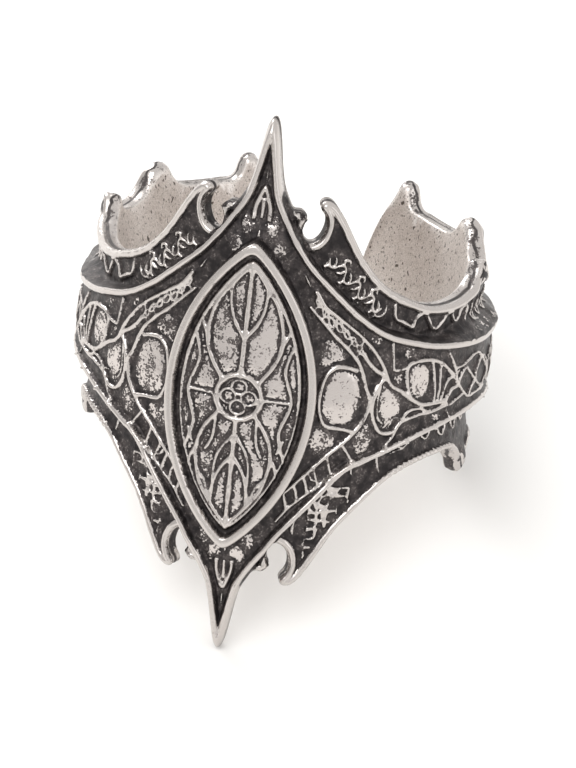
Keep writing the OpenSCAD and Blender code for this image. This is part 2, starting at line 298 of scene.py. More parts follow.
# The tracery. Thin ribs stand on the sunk floors, cut in the wax and cast with the rest. They thicken where
# they meet, and their width wanders a little, as hand work does.
ribs_near = np.zeros_like(X)
ribs_high = np.zeros_like(X)
clear = np.full_like(X, 0.7)  # mm to the nearest rib
webbing = 2.5  # a lower value joins meeting ribs with a wider web
wander_mm = 0.45  # how often a rib's width changes


def rib(points, width=0.2, height=0.15, closed=False, taper=0):
    """Carves a rib along a line of [angle, height] points. A taper thins its ends over so many mm."""
    line = curve(points, closed)
    along = np.r_[0, np.cumsum(np.linalg.norm(np.diff(line, axis=0), axis=1))]
    knots = np.arange(0, along[-1] + 1, wander_mm)
    half = width / 2 * np.interp(along, knots, hand.uniform(0.82, 1.2, len(knots)))
    if taper:
        half *= np.clip(np.minimum(along, along[-1] - along) / taper, 0.35, 1)
    part = window(line.min(0) - 1, line.max(0) + 1)
    halves_out = distance(line, 0.75, half)[part]
    weight = np.exp(-webbing * halves_out)
    ribs_near[part] += weight
    ribs_high[part] += weight * height
    clear[part] = np.minimum(clear[part], (halves_out - 1) * width / 2)


# On the middle band: a rib frames the plaque with a cusp on each side, and from the cusp the branches run
# back along the band. Each row is one rib, from end to end.
BAND_RIBS = [
    [[16.5, 5.25], [20, 4.55], [24, 3.75], [28.5, 2.95], [32, 2.1], [34.2, 0.9], [35.6, 0.1],
     [34.6, -0.9], [31.5, -1.85], [26, -2.9], [21, -3.95], [15.2, -5.2]],
    [[17.6, 6.1], [20.5, 5.35], [24, 4.85], [27.5, 4.35], [31.8, 3.7], [36, 2.85], [39, 2], [41.5, 1],
     [45.5, 0.5], [49, 0], [53, -0.42], [58, -0.5], [62.2, -0.52]],
    [[32.8, 2.75], [34.3, 2.3], [37, 1.8], [39.7, 1.5]],
    [[39.8, 1.35], [37.9, 1], [36.6, 0.1], [37, -0.75], [39.2, -1.6], [42, -1.85], [44.8, -1.7],
     [46.5, -1.25], [52, -1], [57, -0.95], [62.5, -0.8]],
    [[48.2, 0.15], [46.9, 1], [46.9, 1.85], [50, 2.1], [55.5, 2.02], [60, 1.65], [63.5, 1.1], [66, 0.6],
     [67, 0.15], [64.5, 0.05], [62.3, -0.5]],
    [[31, 1.85], [28.5, 2.02], [25, 2], [22.3, 1.4], [21.2, 0.2], [22, -0.7], [24, -1.3], [28, -1.45],
     [31.3, -1.6]],
]
LIGHT_RIBS = [
    [[55.6, 2], [56.8, 1], [57.4, -0.3]],
    [[59.3, 1.7], [59.1, 0.8], [58.8, -0.3]],
    [[60.3, -0.3], [61.2, 0.35], [63, 0.66], [65, 0.75]],
    [[46.5, 1.85], [42.6, 1.75], [42, 2.3], [41.3, 3.2]],
    [[45.4, -1.55], [44.2, -2.1], [41.4, -2.75]],
    [[46.6, -1.1], [48.4, -0.68], [52, -0.62], [56.3, -0.98]],
    [[62.6, 2.15], [65.5, 1.3], [67.8, 0.25], [71.5, -0.45], [75, -0.85], [80, -0.88], [86, -0.9]],
    [[62.4, -0.6], [64, -0.85], [67.5, -0.72], [71.5, -0.5]],
    [[66, 1.15], [70, 1.2], [75, 1.45], [79, 1.45], [83, 1], [86.5, 0.3]],
    [[68, 0.2], [69.4, 0.7], [71.6, 1], [74, 0.6], [78, -0.05], [82, -0.55], [87, -0.9]],
    [[77.5, 0.05], [78.5, 0.6], [81, 1], [83.2, 0.95]],
    [[74.8, -0.75], [76.2, -0.25], [78, -0.05]],
    [[29, -2.35], [31, -2.85], [32.6, -3.3]],
    [[33, -3.3], [30, -3.7], [26, -4.35], [22.5, -5.05], [19, -5.65], [16, -6.25], [13.4, -6.95]],
    [[25.4, -3.05], [27.2, -4.1]], [[22, -3.75], [23.9, -4.75]], [[19.6, -4.25], [20.6, -4.8], [21.2, -5.25]],
    [[17, -4.75], [18, -5.2], [18.4, -5.75]], [[14.6, -5.35], [15.9, -6.2]],
]
FINE_RIBS = [
    [[25.4, 4.45], [27, 4.05], [28.6, 3.65]], [[28.3, 3.2], [29.6, 3.55], [30.6, 3.1]],
    [[24.2, 4.8], [23.2, 4.05]], [[21, 5.3], [20, 4.6]], [[18, 6.35], [18.8, 5.6], [17.4, 5.05]],
    [[32.4, 3.95], [32.2, 3.5], [31, 2.65]], [[38.9, 1.1], [38, 0.2], [38.6, -0.8], [41, -1.35]],
    [[43.5, -0.95], [46.8, -1.02]], [[20.6, -3.95], [22, -4.45], [23.8, -4.5]], [[14, 7], [15.8, 6.4]],
    [[63.2, -1], [65.5, -1.6]], [[56.6, -0.95], [56, -0.55]],
]
for line in BAND_RIBS:
    rib(line, 0.27, 0.19)
for line in LIGHT_RIBS:
    rib(line, 0.2, 0.16)
for line in FINE_RIBS:
    rib(line, 0.15, 0.12, taper=0.3)

# A chain of small links lies in the channel above the plaque's frame.
LINKS = [[18.6, 5.55], [20.6, 5.02], [22.7, 4.5], [25, 4.22], [27.3, 3.86], [29.5, 3.46], [31.4, 3.02]]
for a, z in LINKS:
    rib([[a + 0.9 * math.cos(t), z - 0.14 * math.cos(t) + 0.22 * math.sin(t)]
         for t in np.arange(0, 6.2, 0.8)], 0.16, 0.12, closed=True)

# Behind, the branches go on as two strands that cross in a regular braid, to the end of the band.
braid_start = 84
braid_end = 160
braid_turn = 17.5
braid_half = 1
for side in (-1, 1):
    rib([[a, 0.05 + side * braid_half * math.cos(math.pi * (a - braid_start) / braid_turn * 2)]
         for a in np.arange(braid_start, braid_end, braid_turn / 8)], 0.17, 0.14)
for a in np.arange(braid_start + braid_turn / 2, braid_end - 4, braid_turn / 2):
    rib([[a - 2.6, -0.02], [a, 0.33], [a + 2.6, -0.02]], 0.12, 0.1, taper=0.4)

# In the plaque: a window of plain tracery, with a rose in the middle, a stem above and below it, and
# lancet bars on each side. The lower half has more bars.
# Each row is a rib of the upper half, its width and its height over the field.
WINDOW = [
    ([[0, 1.25], [0, 4.2], [0, 7.5]], 0.3, 0.2),
    ([[4.6, 0.85], [8.6, 2.1], [10, 3.4], [8.4, 5], [4.4, 6.3], [0, 7.4]], 0.27, 0.19),
    ([[0, 3.3], [2.8, 4.1], [4.4, 5], [4.9, 6.1]], 0.22, 0.16),
    ([[9.8, 3.1], [11.4, 3.75], [12, 4.6]], 0.2, 0.15),
]
for way in (1, -1):
    for line, width, height in WINDOW:
        rib([[a, way * z] for a, z in line], width, height)
LOWER_BARS = [
    [[0, -2.1], [2.9, -2.9], [4.4, -3.7], [4.7, -4.9]], [[5.4, -1.2], [5.8, -2.4], [7.4, -3.2]],
    [[9, -4.5], [6.9, -5], [5.6, -5.8]], [[12.8, -2.2], [11.4, -2.9]],
]
for line in LOWER_BARS:
    rib(line, 0.19, 0.14)
rib([[6 * math.cos(t), 1.25 * math.sin(t)] for t in np.arange(0, 2 * math.pi, 0.45)], 0.32, 0.22, closed=True)
rib([[13.6, 3.4], [11.5, 1.8], [13.8, 0], [11.5, -1.8], [13.6, -3.4]], 0.22, 0.16)
rib([[13.8, 0], [9.4, 0], [6, 0]], 0.2, 0.14)
FOILS = [[0, 0.56], [0, -0.56], [2.75, 0], [-2.75, 0]]
for a, z in FOILS:
    rib([[a + 2 * math.cos(t), z + 0.4 * math.sin(t)]
         for t in np.arange(0, 2 * math.pi, 0.7)], 0.15, 0.13, closed=True)

# A border runs round the field. It is broader in the upper half.
border_in = 0.88
border_mm = 0.15
border_width = 0.14 + 0.14 * ramp(Z + 0.5 * lumps, -0.6, 0.4)
border = np.abs(inset - border_in)
border_ridge = border_mm * np.sqrt(np.clip(1 - (border / border_width * 2) ** 2, 0, 1))
clear = np.minimum(clear, border - border_width / 2)

# On the crown strips: a plate edge that drips, which goes on to the back as a row of loops, and a thorned
# scroll towards the front. The lower strips have small loops under the rim line, and a net for the scroll.
DRIPS = [
    [43, 5.05], [43.6, 4.3], [46.5, 3.95], [50.3, 3.62], [51, 4.05], [53.4, 4.3], [55.8, 4], [58, 3.5],
    [60.5, 3.32], [63, 3.65], [65, 4.02], [67, 3.9], [69.4, 3.42], [71.4, 3.45], [72, 3.95], [74.5, 4.05],
    [76.4, 3.85], [76, 3.3],
]
rib(DRIPS, 0.24, 0.17)
loop_pitch = 6
for a in np.arange(80, 150, loop_pitch):
    rib([[a, 4.3], [a + 0.5, 3.4], [a + 2.2, 3.1], [a + 3.6, 3.6], [a + 4, 4.3]], 0.18, 0.13, taper=0.3)
rib([[35.8, 5.2], [36.2, 4.75], [38, 4.55], [39.8, 4.75], [40.3, 5.15]], 0.2, 0.14, taper=0.3)


def beside_rim(along, out, way=1):
    """A point [angle, height] beside the rim line: mm along it from the spike, and mm out from it."""
    line = rim_line[rim_line[:, 0] > 16.5 * deg]
    reach = np.r_[0, np.cumsum(np.linalg.norm(np.diff(line, axis=0), axis=1))]
    here = np.array([np.interp(along, reach, line[:, k]) for k in (0, 1)])
    ahead = np.array([np.interp(along + 0.3, reach, line[:, k]) for k in (0, 1)]) - here
    here += out * np.array([-ahead[1], ahead[0]]) / np.linalg.norm(ahead)
    return [here[0] / deg, way * here[1]]


scroll_turns = 7
scroll_pitch = 0.66  # mm along the rim line
scroll_out = 1.0  # mm out from the rim line
for k in range(scroll_turns):
    start = 0.15 + scroll_pitch * k
    way = 1 if k % 2 else -1
    STEM = [[0, 0], [0.25, 0.3 * way], [0.5, 0.25 * way], [0.72, -0.05 * way]]
    LEAF = [[0.3, 0.28 * way], [0.1, 0.55 * way], [0.35, 0.72 * way], [0.55, 0.52 * way]]
    THORN = [[0.55, 0.2 * way], [0.42, -0.12 * way], [0.2, -0.3 * way]]
    for line, width in ((STEM, 0.23), (LEAF, 0.22), (THORN, 0.19)):
        rib([beside_rim(start + u, scroll_out + v) for u, v in line], width, 0.17, taper=0.2)

# [angle, half width in degrees, drop in millimetres]
LOW_LOOPS = [
    [52, 3.1, 0.95], [62, 2.7, 1.1], [70.5, 2.8, 1.45], [78.3, 2.2, 1.5], [86, 2.2, 1.3], [97, 2.4, 0.8],
    [108, 2.4, 0.6], [126, 2.4, 0.6], [138, 2.4, 0.6],
]
for a, w, drop in LOW_LOOPS:
    z = -np.interp(a * deg, *low_rim_line.T) - 0.2
    low = z - drop * 0.7
    rib([[a - w, z], [a - w * 0.7, low], [a, z - drop], [a + w * 0.7, low], [a + w, z]], 0.18, 0.14)
rib([[43, -2.9], [42.9, -3.6], [43.4, -4.3], [44.4, -4.7]], 0.18, 0.14, taper=0.2)
rib([[47, -3.65], [50, -3.5], [53.5, -3.45]], 0.14, 0.1, taper=0.3)

# The net's strands run where a point is as far from one seed as from the next.
net_left, net_right = 15 * deg, 37 * deg
net_low, net_high = -10.5, -3.9
net_mm = 0.18
net_part = window(np.array([net_left, net_low]), np.array([net_right, net_high]))
seeds = np.meshgrid(np.arange(net_left, net_right, 0.6), np.arange(net_low, net_high, 0.52))
seeds = np.stack(seeds, -1).reshape(-1, 2)
seeds += hand.uniform(-0.24, 0.24, seeds.shape)
to_seeds = np.hypot(X[net_part][..., None] - seeds[:, 0], Z[net_part][..., None] - seeds[:, 1])
to_seeds = np.sort(to_seeds, axis=-1)
net = np.full_like(X, 9.0)
net[net_part] = to_seeds[..., 1] - to_seeds[..., 0]
net = net / (0.2 + 0.16 * (lumps - 0.5))
in_net = ramp(from_rim, 0.3, 0.5) * ramp(from_rim, 1.75, 1.35) * ramp(to_crown, 0.5, 0.7)
in_net = in_net * ramp(ANGLE, 17.5, 18.5) * ramp(ANGLE, 36, 34.5)
net_ridge = net_mm * np.sqrt(np.clip(1 - net**2, 0, 1)) * in_net * np.where(within, 0, 1)
net_ridge = net_ridge * ramp(grain(0.6), 0.32, 0.46)

# On the spikes: a small pointed arch on the sunk floor of each.
ARCH = [[-2.3, 9.75], [-2.2, 10.3], [-1.2, 10.9], [0, 11.35], [1.2, 10.9], [2.2, 10.3], [2.3, 9.75]]
for way in (-1, 1):
    rib([[a, way * z] for a, z in ARCH], 0.32, 0.2)
    rib([[-0.1, way * 9.8], [0, way * 10.35], [0, way * 10.7]], 0.26, 0.17)
    rib([[0, way * 11.6], [0, way * 12.4]], 0.16, 0.12, taper=0.4)
    rib([[0, way * 8.55], [0, way * 9.1]], 0.2, 0.16, taper=0.2)

# Every rib is round on top and steep at its sides.
across_rib = -np.log(np.maximum(ribs_near, 1e-12)) / webbing
ridge = ribs_high / np.maximum(ribs_near, 1e-12)
ridge = ridge * np.clip(1 - across_rib * np.abs(across_rib), 0, 1.15) ** 0.65
ridge = np.maximum(np.maximum(ridge, border_ridge), net_ridge)
ridge *= np.where(on_plaque, ramp(inset, field_in, 0.8), 1) * ramp(to_crown, 0.32, 0.5)
skin += ridge
polish = np.maximum(polish, 0.88 * ramp(ridge, 0.05, 0.12))

# The worn pads. The middle of each cell stands up a little, and wear has polished it through the black.
# [angle, height, half angle, half height, how worn]
PADS = [
    [27.3, 0.3, 5.6, 1.75, 1.0], [41, -0.2, 4.9, 1.4, 0.95], [51, 0.95, 4.4, 1.1, 0.92],
    [24, 2.7, 3.8, 0.85, 0.72], [23.6, -2.15, 3.6, 0.9, 0.74], [35.2, -2.1, 2.9, 1, 0.68],
    [3.6, 9.35, 2, 0.6, 0.74], [3.4, -9.3, 2.4, 0.6, 0.74], [6.4, 8.2, 2, 0.5, 0.6], [6.2, -8.4, 2, 0.5, 0.6],
    [44.5, 1.35, 1.8, 0.5, 0.6], [47.5, 2.6, 1.7, 0.35, 0.55], [36, 3.4, 2.2, 0.3, 0.5],
    [60, -1.35, 2.6, 0.25, 0.45], [69, 0.6, 2, 0.5, 0.6], [95, 2.95, 20, 0.65, 0.3],
]
pad_mm = 0.05
smoothed = 0.8  # share of the floor's grain that wear takes off
worn = np.zeros_like(X)
for angle, height, half_angle, half_height, how in PADS:
    from_middle = np.hypot((ANGLE - angle) / half_angle, (Z - height) / half_height)
    worn = np.maximum(worn, how * ramp(from_middle, 1.1, 0.75))
on_field = 0.86 + 0.14 * ramp(Z, -1, 1)
worn = np.where(inset > 0.95, on_field, np.where(on_plaque, 0, worn))
worn *= ramp(clear, -0.03, 0.26)
skin += (pad_mm - smoothed * rough_floor) * ramp(worn, 0.3, 0.9)

# The casting. It is one piece of white metal. The relief is wrapped round the hole as the outer skin, the
# hole's wall is the inner skin, rounded over at its edges, and the edge of the metal runs between them.
fine = 0.065  # mm between points of the outer skin
coarse = 0.4  # mm between points of the finger hole's wall
on_edge = 0.08  # and there, where the wall turns over to the edge
on_knobs = 0.12  # and inside the knobs


def sample(field, x, z):
    """The sheet's value at flat places, which may be on the left side too."""
    j = np.clip((np.abs(x) - across[0]) / cell, 0, len(across) - 1.001)
    i = np.clip((z - up[0]) / cell, 0, len(up) - 1.001)
    j0, i0 = j.astype(int), i.astype(int)
    u, v = j - j0, i - i0
    return ((field[i0, j0] * (1 - u) + field[i0, j0 + 1] * u) * (1 - v)
            + (field[i0 + 1, j0] * (1 - u) + field[i0 + 1, j0 + 1] * u) * v)


# The outline of the sheet: down the right side, over the band's end, and back up the left side.
quarter = curve(CROWN, step=0.07)
end_x, end_z = quarter[-1]
band_tip = [[end_x, z] for z in np.linspace(end_z, -end_z, 16)[1:-1]]
right = np.concatenate([quarter, band_tip, (quarter * [1, -1])[:0:-1]])
left = (right * [-1, 1])[1:][::-1]
outline = np.concatenate([right, [quarter[0] * [1, -1]], left])[::-1]
rim_count = len(outline)


def near_knob(x, z):
    """Distance to the nearest knob."""
    return np.min([np.hypot(np.abs(x) - a * deg, np.abs(z) - h) for a, h in KNOBS], axis=0)


def lattice(step, keep):
    """Flat points in even rows, where keep(x, z) is true."""
    half_round, half_up = 32.8, 15.2
    row_step = step * 0.866
    xs = np.arange(-half_round, half_round, step)
    zs = np.arange(-half_up, half_up, row_step)
    x, z = np.meshgrid(xs, zs)
    x = x + (np.arange(len(zs)) % 2)[:, None] * step / 2
    x, z = x.ravel(), z.ravel()
    chosen = keep(x, z)
    return np.stack([x[chosen], z[chosen]], 1)


def spread(points):
    """Triangles over the flat outline and the points inside it, and the points that they use."""
    flat = np.concatenate([outline, points])
    made = delaunay_2d_cdt([Vector(p) for p in flat.tolist()], [], [list(range(rim_count))], 1, 1e-7, True)
    source = np.array([ids[0] if ids else -1 for ids in made[3]])
    triangles = np.array([t for t, faces in zip(made[2], made[5]) if faces])
    used, triangles = np.unique(source[triangles], return_inverse=True)
    return flat[used], triangles.reshape(-1, 3)


outer_flat, outer_tris = spread(lattice(fine, lambda x, z: sample(to_crown, x, z) > fine * 0.5))
inner_flat, inner_tris = spread(np.concatenate([
    lattice(on_edge, lambda x, z: np.abs(sample(to_crown, x, z) - 0.1) < 0.06),
    lattice(on_knobs, lambda x, z: (sample(to_crown, x, z) > 0.17) & (near_knob(x, z) < 1.3)),
    lattice(coarse, lambda x, z: (sample(to_crown, x, z) > 0.4) & (near_knob(x, z) > 1.5)),
]))

edge_round = 0.14  # mm, how far the wall's edge is rounded over
knob_over = 0.5  # and how far up the wall is rounded over inside a knob
outer_r = bore + sample(skin, outer_flat[:, 0], outer_flat[:, 1])
from_edge = sample(to_crown, inner_flat[:, 0], inner_flat[:, 1])
from_edge[:rim_count] = 0
plain_edge = edge_round * (1 - np.sqrt(1 - (1 - np.minimum(from_edge / edge_round, 1)) ** 2))
knob_edge = knob_over * (1 - np.sqrt(1 - (1 - np.minimum(from_edge / knob_round, 1)) ** 2))
inner_r = bore + plain_edge
inner_r += (knob_edge - plain_edge) * ramp(near_knob(inner_flat[:, 0], inner_flat[:, 1]), *knob_reach)


def wrapped(flat, r):
    """Flat points bent round the hole at radius r."""
    a = flat[:, 0] / sheet_r
    return np.stack([r * np.sin(a), -r * np.cos(a), flat[:, 1]], 1)


# The edge is rounded with a shallow seam along its middle, and lumpy on the knobs. Each value is how far
# one row of points along the edge stands out, in millimetres, from the outer skin to the wall.
BULGES = [0.07, 0.06, 0, 0.05]
KNOB_BULGES = [0.03, 0.045, 0.02, 0.035]
edge_lump = 0.14
tangent = np.roll(outline, -1, 0) - np.roll(outline, 1, 0)
normal = np.stack([-tangent[:, 1], tangent[:, 0]], 1) / np.linalg.norm(tangent, axis=1)[:, None]
on_knob = ramp(near_knob(outline[:, 0], outline[:, 1]), 1.8, 0.9)
edge_lumps = edge_lump * (sample(soft_lumps, outline[:, 0], outline[:, 1]) - 0.5) * on_knob
points = [wrapped(outer_flat, outer_r)]
count = len(outer_flat)
rows = [np.arange(rim_count)]
for k, (bulge, knob_bulge) in enumerate(zip(BULGES, KNOB_BULGES)):
    share = (k + 1) / (len(BULGES) + 1)
    r = outer_r[:rim_count] * (1 - share) + inner_r[:rim_count] * share
    out = bulge + (knob_bulge - bulge) * on_knob + edge_lumps
    points.append(wrapped(outline + normal * out[:, None], r))
    rows.append(count + np.arange(rim_count))
    count += rim_count
rows.append(count + np.arange(rim_count))
points.append(wrapped(inner_flat, inner_r))
faces = [outer_tris, inner_tris[:, ::-1] + count]
for above, below in zip(rows[:-1], rows[1:]):
    a, b = above, np.roll(above, -1)
    c, d = below, np.roll(below, -1)
    faces += [np.stack([b, a, c], 1), np.stack([b, c, d], 1)]
points = np.concatenate(points)
faces = np.concatenate(faces)


def mesh_of(name, points, faces):
    """A mesh of triangles."""
    mesh = bpy.data.meshes.new(name)
    mesh.vertices.add(len(points))
    mesh.vertices.foreach_set("co", points.astype(np.float32).ravel())
    mesh.loops.add(faces.size)
    mesh.loops.foreach_set("vertex_index", faces.astype(np.int32).ravel())
    mesh.polygons.add(len(faces))
    mesh.polygons.foreach_set("loop_start", np.arange(0, faces.size, 3, dtype=np.int32))
    mesh.update(calc_edges=True)
    return mesh


# Most of the points lie where the surface hardly bends, so the mesh is thinned to what the relief needs.
most = 186000  # triangles
rough = bpy.data.objects.new("ring_rough", mesh_of("ring_rough", points, faces))
bpy.context.scene.collection.objects.link(rough)
thin = rough.modifiers.new("thin", "DECIMATE")
thin.ratio = most / len(faces)
mesh = bpy.data.meshes.new_from_object(rough.evaluated_get(bpy.context.evaluated_depsgraph_get()))
bpy.data.objects.remove(rough)
mesh.name = "ring_casting"

# What the finish needs to know of each place: how far it is polished, where the pads are worn, what is
# inside the finger hole, how far it lies below the rim line's crest, and how far out it is on the edge.
place = np.empty(len(mesh.vertices) * 3, np.float32)
mesh.vertices.foreach_get("co", place)
place = place.reshape(-1, 3).astype(float)
r = np.hypot(place[:, 0], place[:, 1])
x = np.arctan2(place[:, 0], -place[:, 1]) * sheet_r
z = place[:, 2]
depth = r - bore
surface = sample(skin, x, z)
on_outer = ramp(depth - surface, -0.2, -0.08)
on_outer = np.where(sample(to_crown, x, z) > 0.1, (depth > 0.5), on_outer)
NOTCH = [15.6, 9.45]  # the middle of the round notch beside the spike
CURL = [85.6, -5.6]  # the hollow of the lower front knob
around_knobs = ramp(near_knob(x, z), 2.2, 1.2)
near_notch = np.hypot(np.abs(x) - NOTCH[0] * deg, np.abs(z) - NOTCH[1])
near_curl = np.hypot(np.abs(x) - CURL[0] * deg, z - CURL[1])
edge_polish = 0.8 - 0.12 * around_knobs - 0.7 * ramp(near_notch, 0.95, 0.75)
edge_polish -= 0.5 * ramp(near_curl, 0.8, 0.55)
polished = np.where(on_outer > 0, sample(polish, x, z) * on_outer + edge_polish * (1 - on_outer), edge_polish)
hole_wall = ramp(depth, 0.12, 0.03) * (depth < surface - 0.3)
below_crest = (sample(rim_mm, x, z) - depth) * sample(beside, x, z) * on_outer
edge_share = np.where(on_outer > 0.5, 1, np.clip(depth / surface, 0, 1))
seam_wander = 0.4  # how far the seam wanders round the knobs, as a share of the edge
edge_share += seam_wander * (sample(soft_lumps, x, z) - 0.5) * around_knobs
left_pad_share = 0.8  # the pads on the left side are drawn a little smaller, so that side is darker
wear = sample(worn, x, z) * on_outer * np.where(x < 0, left_pad_share, 1)
fields = {"polished": polished, "worn": wear, "hole_wall": hole_wall, "below_crest": below_crest,
          "edge_share": edge_share}
for name, values in fields.items():
    attribute = mesh.attributes.new(name, "FLOAT", "POINT")
    attribute.data.foreach_set("value", np.asarray(values, np.float32))

# The knobs are melted round in the wax, so the mesh is evened out near them. A pass draws the points
# towards their neighbours, and all but the first few are followed by one that swells them back to size.
SOFTEN = [0.6] * 3
KEEP_SIZE = [0.6, -0.62] * 12
melted = ramp(near_knob(x, z), 1.8, 1.1)[:, None]
edges = np.empty(len(mesh.edges) * 2, np.int32)
mesh.edges.foreach_get("vertices", edges)
edges = edges.reshape(-1, 2)
edges = edges[np.max(melted[edges, 0], axis=1) > 0]
one, other = np.concatenate([edges, edges[:, ::-1]]).T
for step in SOFTEN + KEEP_SIZE:
    pull = place[other] - place[one]
    apart = np.linalg.norm(pull, axis=1) + 1e-6
    total = np.stack([np.bincount(one, pull[:, k] / apart, len(place)) for k in range(3)], 1)
    shared = np.bincount(one, 1 / apart, len(place))[:, None] + 1e-9
    place += step * melted * total / shared
r = np.hypot(place[:, 0], place[:, 1])
x = np.arctan2(place[:, 0], -place[:, 1]) * sheet_r
z = place[:, 2]

# The real cuff isn't quite true, because it is bent by hand. Along the sides the crown's edges lean out a
# little and sit a little high, and the strips are a little wider on the left than on the right.
lean_mm = 0.3
lift_mm = 0.3
uneven_mm = 0.14
turned = np.abs(x) / deg
to_side = ramp(turned, 28, 60) * ramp(turned, 166, 148) * ramp(np.abs(z), 2.4, 4.8)
leaning = to_side * ramp(turned, 122, 98)
lifted = ramp(turned, 36, 50) * ramp(turned, 84, 74) * ramp(np.abs(z), 2.4, 4.5)
r = r + lean_mm * leaning
z = z + lift_mm * lifted - uneven_mm * np.sin(x / sheet_r) * np.sign(z) * to_side
place = np.stack([r * np.sin(x / sheet_r), -r * np.cos(x / sheet_r), z], 1)
mm_per_m = 1000
place = np.c_[place / mm_per_m, np.ones(len(place))] @ np.array(to_rest).T
place[:, 2] = np.maximum(place[:, 2], 0)
mesh.vertices.foreach_set("co", place[:, :3].astype(np.float32).ravel())
mesh.shade_smooth()
mesh.update()
ring = bpy.data.objects.new("ring_casting", mesh)
bpy.context.scene.collection.objects.link(ring)


# The metal. It is a white casting alloy with a silver colour, blackened all over and then polished by hand,
# so the high lines are bright, the recesses keep a dull black, and the hole's wall is satin from tumbling.
# The wall's colour is also painted lighter, as painted light against the shade inside the hole.
def colour(hex_value):
    """A linear colour from an sRGB hex value."""
    parts = [int(hex_value[i:i + 2], 16) / 255 for i in (1, 3, 5)]
    return (*[c / 12.92 if c <= 0.04045 else ((c + 0.055) / 1.055) ** 2.4 for c in parts], 1)


def add(tree, kind, inputs, **settings):
    """Adds a shader node with its settings and its inputs, which are values or sockets.

    A Mix node's inputs go by number: 0 is the share, 2 and 3 are the values, 6 and 7 the colours.
    """
    made = tree.nodes.new("ShaderNode" + kind)
    for name, value in settings.items():
        setattr(made, name, value)
    for name, value in inputs.items():
        if isinstance(value, bpy.types.NodeSocket):
            tree.links.new(value, made.inputs[name])
        else:
            made.inputs[name].default_value = value
    return made


# Pattern sizes on the ring. The grain and pits are a little coarser than the real ones, so that they show.
blotch_mm = 0.13  # how wide the ragged edges of the black are
stain_mm = 0.55  # how wide the uneven stains are
pit_mm = 0.0909  # pits from casting, in the hole's wall
long_pit_mm = 0.19
tumbled_mm = 0.06  # the satin's grain
grain_mm = 0.0833  # the casting's grain in the black
silver = colour("#c8c2be")
# The worn pads' silver is a touch lighter than the lines' silver. This is painted light against the shade
# between the ribs.
worn_silver_painted_lighter = colour("#cdc6c2")
grit = colour("#9c9490")
black = colour("#242021")
black_worn = colour("#4a4443")
# The satin's light tone is painted light: it is much lighter than the outside's silver, against the shade
# inside the hole.
satin_painted_lighter = colour("#f2ece8")
satin_low = colour("#c8c0ba")
satin_pit = colour("#6a625d")

metal = bpy.data.materials.new("antiqued_silver_alloy")
metal.use_nodes = True
tree = metal.node_tree
tree.nodes.clear()
where = add(tree, "TexCoord", {}).outputs["Object"]
fine_noise = add(tree, "TexNoise", {"Vector": where, "Scale": 1000 / blotch_mm, "Detail": 2.5,
                                    "Roughness": 0.6}).outputs["Fac"]
wide_noise = add(tree, "TexNoise", {"Vector": where, "Scale": 1000 / stain_mm, "Detail": 2.0}).outputs["Fac"]
speck = add(tree, "Mix", {0: 0.42, 2: fine_noise, 3: wide_noise}).outputs[0]
worn_at = add(tree, "Attribute", {}, attribute_name="worn").outputs["Fac"]
polished_at = add(tree, "Attribute", {}, attribute_name="polished").outputs["Fac"]
wall_at = add(tree, "Attribute", {}, attribute_name="hole_wall").outputs["Fac"]
below_at = add(tree, "Attribute", {}, attribute_name="below_crest").outputs["Fac"]
share_at = add(tree, "Attribute", {}, attribute_name="edge_share").outputs["Fac"]

# The worn pads are bright where wear beats the specks of black that are left in the pits.
threshold = add(tree, "MapRange", {"Value": speck, "From Min": 0.39, "From Max": 0.62,
                                   "To Min": 0.12, "To Max": 1.1}).outputs[0]
over = add(tree, "Math", {0: worn_at, 1: threshold}, operation="SUBTRACT").outputs[0]
pad = add(tree, "MapRange", {"Value": over, "From Min": 0.0, "From Max": 0.1},
          interpolation_type="SMOOTHSTEP").outputs[0]

# The raised lines are bright on their crests, with ragged edges. The black stays in the seam of the edge.
patchy = add(tree, "Mix", {0: 0.5, 2: fine_noise, 3: wide_noise}).outputs[0]
ragged = add(tree, "MapRange", {"Value": patchy, "From Min": 0.36, "From Max": 0.66,
                                "To Min": 0.15, "To Max": 0.9}).outputs[0]
over_line = add(tree, "Math", {0: polished_at, 1: ragged}, operation="SUBTRACT").outputs[0]
line_mask = add(tree, "MapRange", {"Value": over_line, "From Min": 0.0, "From Max": 0.2},
                interpolation_type="SMOOTHSTEP").outputs[0]
on_crest = add(tree, "MapRange", {"Value": below_at, "From Min": 0.18, "From Max": 0.1}).outputs[0]
line_mask = add(tree, "Math", {0: line_mask, 1: on_crest}, operation="MULTIPLY").outputs[0]
from_seam = add(tree, "Math", {0: share_at, 1: 0.6}, operation="SUBTRACT").outputs[0]
from_seam = add(tree, "Math", {0: from_seam}, operation="ABSOLUTE").outputs[0]
off_seam = add(tree, "MapRange", {"Value": from_seam, "From Min": 0.06, "From Max": 0.13,
                                  "To Min": 0.05}).outputs[0]
line_mask = add(tree, "Math", {0: line_mask, 1: off_seam}, operation="MULTIPLY").outputs[0]
bright = add(tree, "Math", {0: pad, 1: line_mask}, operation="MAXIMUM").outputs[0]

# The black is an uneven oxide, thinner in stains, with clusters of bare grit showing through.
mottle = add(tree, "MapRange", {"Value": wide_noise, "From Min": 0.35, "From Max": 0.7}).outputs[0]
dark_tone = add(tree, "Mix", {0: mottle, 6: black, 7: black_worn}, data_type="RGBA").outputs[2]
gritty = add(tree, "MapRange", {"Value": fine_noise, "From Min": 0.54, "From Max": 0.72,
                                "To Max": 0.8}).outputs[0]
cluster = add(tree, "MapRange", {"Value": wide_noise, "From Min": 0.42, "From Max": 0.62}).outputs[0]
gritty = add(tree, "Math", {0: gritty, 1: cluster}, operation="MULTIPLY").outputs[0]
dark_tone = add(tree, "Mix", {0: gritty, 6: dark_tone, 7: grit}, data_type="RGBA").outputs[2]
# Bare metal. The pads take the lighter silver, as painted light against the shade between the ribs.
light_tone = add(tree, "Mix", {0: pad, 6: silver, 7: worn_silver_painted_lighter}, data_type="RGBA").outputs[2]
outside = add(tree, "Mix", {0: bright, 6: dark_tone, 7: light_tone}, data_type="RGBA").outputs[2]
